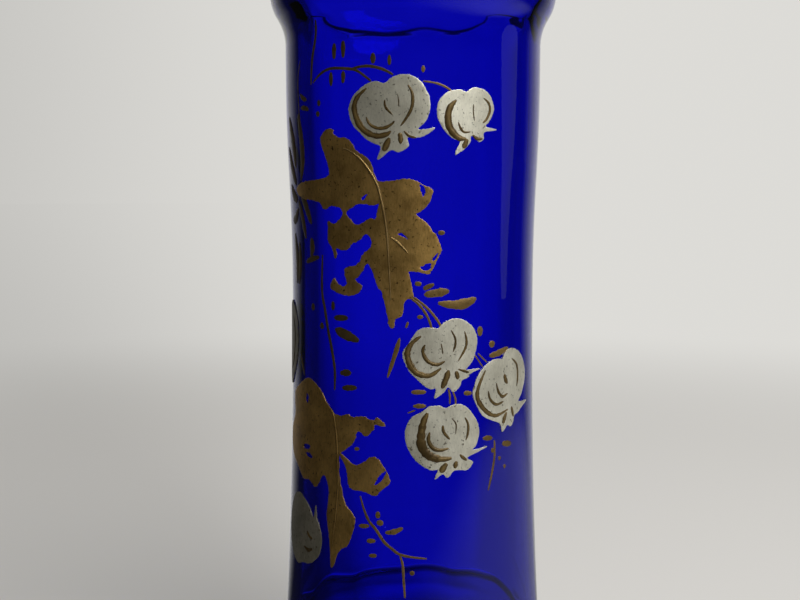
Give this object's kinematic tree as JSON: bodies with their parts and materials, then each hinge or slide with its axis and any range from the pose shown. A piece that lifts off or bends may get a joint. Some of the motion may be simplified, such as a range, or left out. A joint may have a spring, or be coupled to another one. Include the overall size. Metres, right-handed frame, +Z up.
{
  "type": "antique glass bottle",
  "caption": "Tall waisted blue glass bottle with bulged foot and shoulder, slim neck and ground glass stopper; gilt leaves, sprigs and silver fruits fired on the front.",
  "frame": {"origin": "centre of the standing ring, on the surface that the bottle stands on", "axes": "+Z up along the bottle's axis; the painted side faces -Y"},
  "size_m": [0.073, 0.073, 0.2963],
  "materials": {
    "cobalt_glass": "gloss",
    "gilding": "satin, worn",
    "silver_enamel": "satin"
  },
  "bodies": {
    "bottle": {"glass_bottle": "cobalt_glass", "upper_leaf": "gilding", "lower_leaf": "gilding", "upper_sprig": "gilding", "top_sprig": "gilding", "middle_sprig": "gilding", "right_sprig": "gilding", "left_sprig": "gilding", "lower_sprig": "gilding", "top_left_fruit": "silver_enamel", "top_right_fruit": "silver_enamel", "middle_fruit": "silver_enamel", "right_fruit": "silver_enamel", "bottom_fruit": "silver_enamel", "lower_left_fruit": "silver_enamel", "far_left_fruit": "silver_enamel"},
    "stopper": {"glass_stopper": "cobalt_glass"}
  },
  "joints": [
    {"name": "stopper_lift", "type": "slide", "parent": "bottle", "child": "stopper", "axis": [0, 0, 1], "range_m": [0, 0.045]}
  ]
}
